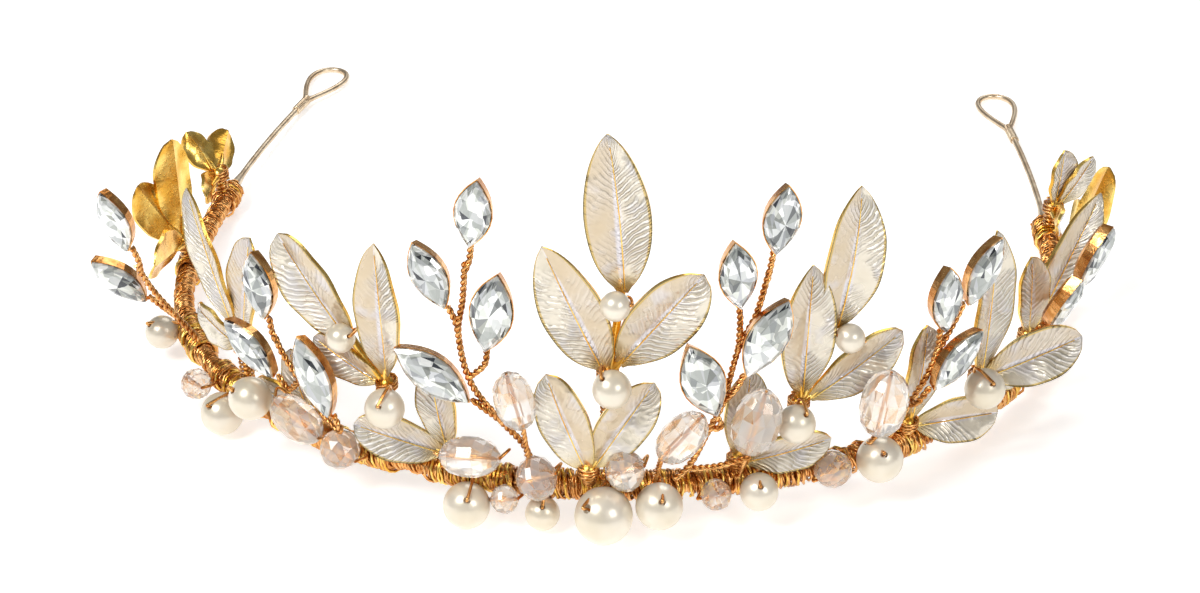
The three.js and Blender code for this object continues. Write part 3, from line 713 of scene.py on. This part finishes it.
for name, (station, out, stem, stones, twigs) in BRANCHES.items():
    here = wall(station, 0, out)
    lines = [smooth([here @ Vector(point) for point in stem])]
    cups = []
    for index, (size, at, tilt, flare, spin, start) in enumerate(stones):
        stand = Matrix.Translation(at) @ pose(tilt, flare, spin)
        heel = -(size[0] / 2 + 2 * SEAT_CLEARANCE + CUP_POINT_WALL * 0.25)
        depth = -CUP_DEPTH / 2
        lines.append(smooth([here @ Vector(start), here @ stand @ Vector((0, heel - 2.5, depth)),
                             here @ stand @ Vector((0, heel + 0.6, depth))]))
        stone_blank, cup_blank = stone_blanks[size]
        cups.append(copy_of(cup_blank, "cup", here @ stand))
        node = f"{name}_stone_{index + 1}"
        stone = copy_of(stone_blank, node + "_cut", here @ stand)
        tones = stone.data.attributes.new("facet", "FLOAT_COLOR", "FACE")
        cuts = {}
        turn = chance.uniform(0, 1)
        # How many of this stone's facets get a painted dark reflection.
        painted_dark_share = chance.uniform(0.18, 0.5)
        for number in steady_faces(stone_blank.data):
            middle = stone_blank.data.polygons[number].center
            sector = int((math.atan2(middle.y * 0.5, middle.x) / (2 * math.pi) + turn) * CUTS_ROUND)
            cut = (sector, round(middle.z * 4))
            if cut not in cuts:
                cuts[cut] = chance.choice(PAINTED_DARK_FACETS if chance.random() < painted_dark_share else PAINTED_BRIGHT_FACETS)
            tones.data[number].color = (*cuts[cut], 1)
        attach(stone, body_of[node])
        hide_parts(node)
    lines += [smooth([here @ Vector(point) for point in twig]) for twig in twigs]
    strands = []
    for line in lines:
        for start in (0, math.pi):
            strands.append(wind(line, TWIST_OFFSET * MM, TWIST_PITCH * MM, start=start))
    stem_wire = wire("twist", strands, TWIST_WIRE * MM, copper_wire)
    branch = merge(name + "_branch_wire", [stem_wire, *cups])
    node = name + "_branch"
    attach(branch, body_of[node])
    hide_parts(node)
for stone_blank, cup_blank in stone_blanks.values():
    bpy.data.objects.remove(stone_blank)
    bpy.data.objects.remove(cup_blank)


# ---- Pearls ----
# Round drilled pearls with a deep satin lustre, threaded on copper wire that is wound off round the
# band or the hub behind them.
pearl_skin, shade, surface = start_material("pearl_skin")
place = shade.node("ShaderNodeTexCoord", output=3)
cloud = shade.node("ShaderNodeTexNoise", sockets={"Vector": place, "Scale": 160.0, "Detail": 2.0})
pits = shade.node("ShaderNodeTexNoise", sockets={"Vector": place, "Scale": 1400.0, "Detail": 1.0})
lustre = cloud.band(0.3, 0.7).blend((0.74, 0.66, 0.51, 1), (0.81, 0.74, 0.62, 1))
relief = shade.node("ShaderNodeBump", sockets={"Strength": 0.08, "Distance": 0.0001, "Height": pits})
connect(shade.tree, surface, Base_Color=lustre, Metallic=0.3 + cloud * 0.1, Roughness=0.27 + pits * 0.1,
        Coat_Weight=0.25, Coat_Roughness=0.12, Normal=relief)

bpy.ops.object.select_all(action="DESELECT")
bpy.ops.mesh.primitive_uv_sphere_add(segments=32, ring_count=20, radius=1)
round_blank = bpy.context.object
bpy.ops.object.mode_set(mode="EDIT")
for end in (1, -1):
    bpy.ops.mesh.select_all(action="DESELECT")
    shell = bmesh.from_edit_mesh(round_blank.data)
    for face in shell.faces:
        face.select_set(face.calc_center_median().z * end > 0.985)
    bmesh.update_edit_mesh(round_blank.data)
    bpy.ops.mesh.extrude_region_move(TRANSFORM_OT_translate={"value": (0, 0, -end * 0.16)})
    bpy.ops.transform.resize(value=(0.8, 0.8, 1), center_override=(0, 0, 0))
bpy.ops.object.mode_set(mode="OBJECT")
bpy.ops.object.shade_smooth_by_angle(angle=math.radians(40))
round_blank.data.materials.append(pearl_skin)

def station_body(station):
    """The body of the frame that what is tied on here moves with."""
    if station < LEFT_FLEX_STATION:
        return "left_arm"
    return "right_arm" if station > RIGHT_FLEX_STATION else "front"


# Diameter, place on the wall, and the tilt and flare of the drilled hole
PEARLS = {
    "centre_pearl": (9.8, (5, -3.4, 4.95), -40, 34),
    "left_front_pearl": (8, (-17, -4.4, 3.7), 20, 40),
    "right_front_pearl": (8, (13.6, -1.9, 4.4), 5, 46),
    "right_corner_pearl": (8, (50, 1, 3.8), -20, 40),
    "centre_hub_pearl": (6.5, (6.3, 20.9, 4.4), -30, 20),
    "left_hub_pearl": (6.8, (-29.9, 12.2, 3.9), 12, 52),
    "right_hub_pearl": (6.5, (34.9, 11.8, 3.8), 20, 30),
    "left_corner_pearl": (7.5, (-57, 5.1, 4.5), -24, 44),
    "left_side_pearl": (7.5, (-67, -2.9, 3.9), 10, 40),
    "right_side_pearl": (7, (69, 9.2, 5.1), -20, 40),
    "left_far_pearl": (6, (-94, -0.5, 3.5), 10, 40),
    "front_small_pearl": (5.9, (-5, -5.5, 1.9), 8, 36),
    "right_small_pearl": (6.5, (29.5, -1, 3.6), -10, 40),
    "centre_leaf_pearl": (5, (6.8, 35.5, 2.5), 80, 10),
    "left_leaf_pearl": (5, (-38.4, 22.3, 1.5), 60, 10),
    "right_leaf_pearl": (5, (43.9, 25.4, 1.5), 110, 10),
}
LOW_PEARL = 6
turned_up = Matrix.Rotation(-math.pi / 2, 4, "X")
threads = {"front": [], "left_arm": [], "right_arm": []}
for name, (diameter, at, tilt, flare) in PEARLS.items():
    stand = wall(*at) @ pose(tilt, flare)
    radius = diameter / 2
    pearl = copy_of(round_blank, name + "_drilled" if name in body_of else name,
                    stand @ turned_up @ Matrix.Scale(radius, 4))
    body = body_of.get(name) or station_body(at[0])
    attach(pearl, body)
    if name in body_of:
        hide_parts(name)
    top = stand @ Vector((0, radius * 0.95, 0))
    bottom = stand @ Vector((0, -radius * 0.95, 0))
    inside = stand @ Vector((0, radius * 0.5, 0))
    above = stand @ Vector((0, radius * 1.12, -radius * 0.1))
    if at[1] < LOW_PEARL:
        threads[body].append(smooth([inside, top, above, wall(at[0] + 0.8, 0.8, 0.2).translation,
                                     on_band(at[0] + 1)]))
        threads[body].append(smooth([bottom, on_band(at[0] - 0.5)]))
    else:
        behind = stand @ Vector((0, radius * 0.6, -radius * 1.1))
        threads[body].append(smooth([inside, top, above, behind, bottom]))
bpy.data.objects.remove(round_blank)


# ---- Crystals ----
# Long and round glass beads, pale champagne, cut in long flat facets with the copper wire showing
# through the hole down their middle. Each facet gets a tone at random from near white to peach and
# brown: the champagne tint of the glass, with painted sparkle.
champagne, shade, surface = start_material("champagne_crystal")
place = shade.node("ShaderNodeTexCoord", output=3)
tone = shade.node("ShaderNodeAttribute", {"attribute_name": "facet"})
streak = shade.node("ShaderNodeTexNoise", sockets={"Vector": place, "Scale": 300.0, "Detail": 2.0})
connect(shade.tree, surface, Base_Color=tone, Roughness=0.03 + streak * 0.05,
        Transmission_Weight=0.72, IOR=1.46, Coat_Weight=0.6)
# The champagne tint of the glass with painted sparkle: facets set at random from near white to peach and
# brown.
CHAMPAGNE_AND_PAINTED_SPARKLE = [(1.0, 0.95, 0.89), (1.0, 0.89, 0.77), (1.0, 0.98, 0.95), (0.97, 0.75, 0.54),
                 (1.0, 0.96, 0.91), (0.99, 0.85, 0.71), (1.0, 0.98, 0.95), (0.9, 0.62, 0.4),
                 (1.0, 0.97, 0.92), (1.0, 0.93, 0.85)]


def blank_crystal(name, sides, waist, steps):
    """A drum whose ends are drawn in by steps of lift and share, its rings turned by half a side."""
    bpy.ops.object.select_all(action="DESELECT")
    bpy.ops.mesh.primitive_cylinder_add(vertices=sides, radius=1, depth=waist)
    crystal = bpy.context.object
    crystal.name = name
    bpy.ops.object.mode_set(mode="EDIT")
    for end in (1, -1):
        bpy.ops.mesh.select_all(action="DESELECT")
        shell = bmesh.from_edit_mesh(crystal.data)
        for face in shell.faces:
            face.select_set(face.normal.z * end > 0.9)
        bmesh.update_edit_mesh(crystal.data)
        for lift, share in steps:
            push(end * lift, share)
    shell = bmesh.from_edit_mesh(crystal.data)
    twist = Matrix.Rotation(math.pi / sides, 3, "Z")
    for vertex in shell.verts:
        if 0.3 * waist + 0.3 < abs(vertex.co.z) < 0.95:
            vertex.co = twist @ vertex.co
    bpy.ops.mesh.select_all(action="SELECT")
    bpy.ops.mesh.quads_convert_to_tris(quad_method="SHORTEST_DIAGONAL", ngon_method="BEAUTY")
    bpy.ops.mesh.normals_make_consistent(inside=False)
    bpy.ops.object.mode_set(mode="OBJECT")
    crystal.data.materials.append(champagne)
    return crystal


long_blank = blank_crystal("long_blank", 12, 0.5, ((0.36, 0.86), (0.24, 0.7), (0.15, 0.45)))
round_bead = blank_crystal("round_blank", 12, 0.3, ((0.42, 0.86), (0.28, 0.66), (0.15, 0.5)))

# Bead length and diameter, place on the wall, tilt and flare
CRYSTALS = {
    "left_upright_crystal": (10.4, 6.8, (-8.6, 17.4, 3.9), -14, 0),
    "left_level_crystal": (10.4, 6.8, (-16.2, 5.2, 3.4), 84, 0),
    "left_round_crystal": (6.6, 7.6, (-5.6, 2.3, 3.3), 70, 0),
    "left_corner_crystal": (10.4, 6.8, (-46.9, 4.9, 4.3), -64, 0),
    "right_lower_crystal": (10.4, 6.8, (16.9, 11.7, 4.6), 40, 0),
    "right_upright_crystal": (12, 8, (28.4, 13.4, 4.2), 14, 0),
    "right_corner_crystal": (12, 8, (48.9, 13.4, 5.1), 8, 0),
    "front_round_crystal": (6.4, 7.2, (8.3, 4.4, 3), 76, 0),
    "left_bud_crystal": (4.6, 5, (-11, -3, 2.5), 80, 0),
    "right_bud_crystal": (5, 5.5, (22.8, -1.5, 2.5), 80, 0),
    "right_low_crystal": (6.2, 6.5, (42, 0.7, 3), 60, 0),
    "left_low_crystal": (6.6, 7, (-39.2, 1.1, 3.5), 120, 0),
    "left_side_crystal": (5.2, 5.5, (-76, -1.5, 3.5), 80, 0),
}
LONG_BEAD = 8
FOOT_SIDE_STEP = 6
for name, (length, diameter, at, tilt, flare) in CRYSTALS.items():
    stand = wall(*at) @ pose(tilt, flare)
    shape = Matrix.Diagonal((diameter / 2, diameter / 2, length / 2, 1))
    master = long_blank if length > LONG_BEAD else round_bead
    crystal = copy_of(master, name + "_cut" if name in body_of else name, stand @ turned_up @ shape)
    tones = crystal.data.attributes.new("facet", "FLOAT_COLOR", "FACE")
    for number in steady_faces(master.data):
        tones.data[number].color = (*chance.choice(CHAMPAGNE_AND_PAINTED_SPARKLE), 1)
    body = body_of.get(name) or station_body(at[0])
    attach(crystal, body)
    if name in body_of:
        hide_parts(name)
    half = length / 2
    top = stand @ Vector((0, half * 1.02, 0))
    bottom = stand @ Vector((0, -half * 1.02, 0))
    threads[body].append([bottom, top])
    if at[1] < LOW_PEARL:
        over = stand @ Vector((0, half * 1.15, -diameter * 0.4))
        threads[body].append(smooth([top, over, on_band(at[0])]))
        under = stand @ Vector((0.4, -half * 1.2, -1))
        threads[body].append(smooth([bottom, under, on_band(at[0])]))
    else:
        foot = wall(at[0] - FOOT_SIDE_STEP * math.sin(math.radians(tilt))).translation
        for start in (0, math.pi):
            threads[body].append(wind(smooth([bottom, foot]), 0.26 * MM, 2.2 * MM, start=start))
bpy.data.objects.remove(long_blank)
bpy.data.objects.remove(round_bead)


# ---- Binding wires ----
# Fine copper wire that threads each bead and is wound a few times round the band beside each
# ornament, so the winding is thicker and untidy there.
LOW_CRYSTAL = 8
HINGE_CLEAR = 3
knots = {"front": [], "left_arm": [], "right_arm": []}
tied = [seat[0] for seat, _ in SPRAYS.values()]
tied += [at[0] for _, at, _, _ in PEARLS.values() if at[1] < LOW_PEARL]
tied += [at[0] for _, _, at, _, _ in CRYSTALS.values() if at[1] < LOW_CRYSTAL]
tied += [station + stem[0][0] for station, _, stem, _, _ in BRANCHES.values()]
for station in tied:
    for _ in range(3):
        middle = station + chance.uniform(-2.5, 2.5)
        reach = chance.uniform(1.0, 2.2)
        if min(abs(middle - LEFT_FLEX_STATION), abs(middle - RIGHT_FLEX_STATION)) < HINGE_CLEAR:
            continue
        path = [on_band(middle - reach), on_band(middle + reach)]
        knots[station_body(middle)].append(
            wind(path, chance.uniform(2.0, 2.45) * MM, chance.uniform(0.7, 1.2) * MM,
                 start=chance.uniform(0, 6), steps=10, wobble=0.3 * MM, seed=int(middle * 7) + 900))
        over = [on_band(middle - reach * 1.6), on_band(middle + reach * 1.6)]
        knots[station_body(middle)].append(
            wind(over, 2.5 * MM, reach * 2.1 * MM, start=chance.uniform(0, 6), steps=12,
                 wobble=0.4 * MM, seed=int(middle * 5) + 300))
for body, runs in knots.items():
    for metal_name, part, finish in (("copper", runs[::3] + runs[1::3], copper_wire),
                                     ("gold", runs[2::3], yellow_gold)):
        tie = wire(f"{body}_{metal_name}_ties", part, 0.25 * MM, finish, body)
for body, runs in threads.items():
    thread = wire(body + "_bead_wire", runs, 0.28 * MM, copper_wire, body)


# ---- Table and light ----
# A plain pale table top under wide, soft studio lamps.
bpy.ops.object.select_all(action="DESELECT")
bpy.ops.mesh.primitive_plane_add(size=8, location=(0, 0, -0.0002))
table = bpy.context.object
table.name = "table_top"
paper, shade, surface = start_material("white_paper")
place = shade.node("ShaderNodeTexCoord", output=3)
tooth = shade.node("ShaderNodeTexNoise", sockets={"Vector": place, "Scale": 700.0})
connect(shade.tree, surface, Base_Color=tooth.blend((0.93, 0.93, 0.93, 1), (0.96, 0.96, 0.96, 1)),
        Roughness=0.9, Emission_Color=(1.0, 1.0, 1.0, 1.0), Emission_Strength=0.5)
table.data.materials.append(paper)

world = bpy.data.worlds.new("studio")
bpy.context.scene.world = world
world.use_nodes = True
world.node_tree.nodes["Background"].inputs["Color"].default_value = (1, 1, 1, 1)
world.node_tree.nodes["Background"].inputs["Strength"].default_value = 0.22
LAMPS = {"key": ((-0.45, -0.5, 0.75), 0.4, 6.2), "fill": ((0.65, -0.6, 0.55), 0.35, 2.6),
         "rear": ((0.1, 0.7, 0.7), 0.5, 2.0)}
lamp_aim = Vector((0, 0, 0.03))
for name, (place, size, power) in LAMPS.items():
    bpy.ops.object.light_add(type="AREA", location=place)
    lamp = bpy.context.object
    lamp.name = name
    lamp.data.size = size
    lamp.data.energy = power
    lamp.rotation_euler = (lamp_aim - Vector(place)).to_track_quat("-Z", "Y").to_euler()
bpy.context.scene.view_settings.view_transform = "Standard"


# ---- Camera ----
# A long lens a little to the right of the middle, looking down on the tiara from arm's length.
VIEW_DISTANCE = 800.0
view_lift = math.radians(27.0)
view_turn = math.radians(5.6)
away = Vector((math.cos(view_lift) * math.sin(view_turn),
               -math.cos(view_lift) * math.cos(view_turn), math.sin(view_lift)))
right = Vector((math.cos(view_turn), math.sin(view_turn), 0))
eye = Vector((0, 0, BAND_HEIGHT)) + away * VIEW_DISTANCE
turned = tip_back.to_3x3()
bpy.ops.object.camera_add()
camera = bpy.context.object
camera.name = "camera"
turn = Matrix((turned @ right, turned @ away.cross(right), turned @ away)).transposed()
camera.matrix_world = Matrix.Translation(to_frame @ eye) @ turn.to_4x4()
camera.data.lens = 132.45
camera.data.sensor_width = 36.0
camera.data.shift_x = -0.015
camera.data.shift_y = -0.00875
camera.data.clip_start = 0.01
bpy.context.scene.camera = camera
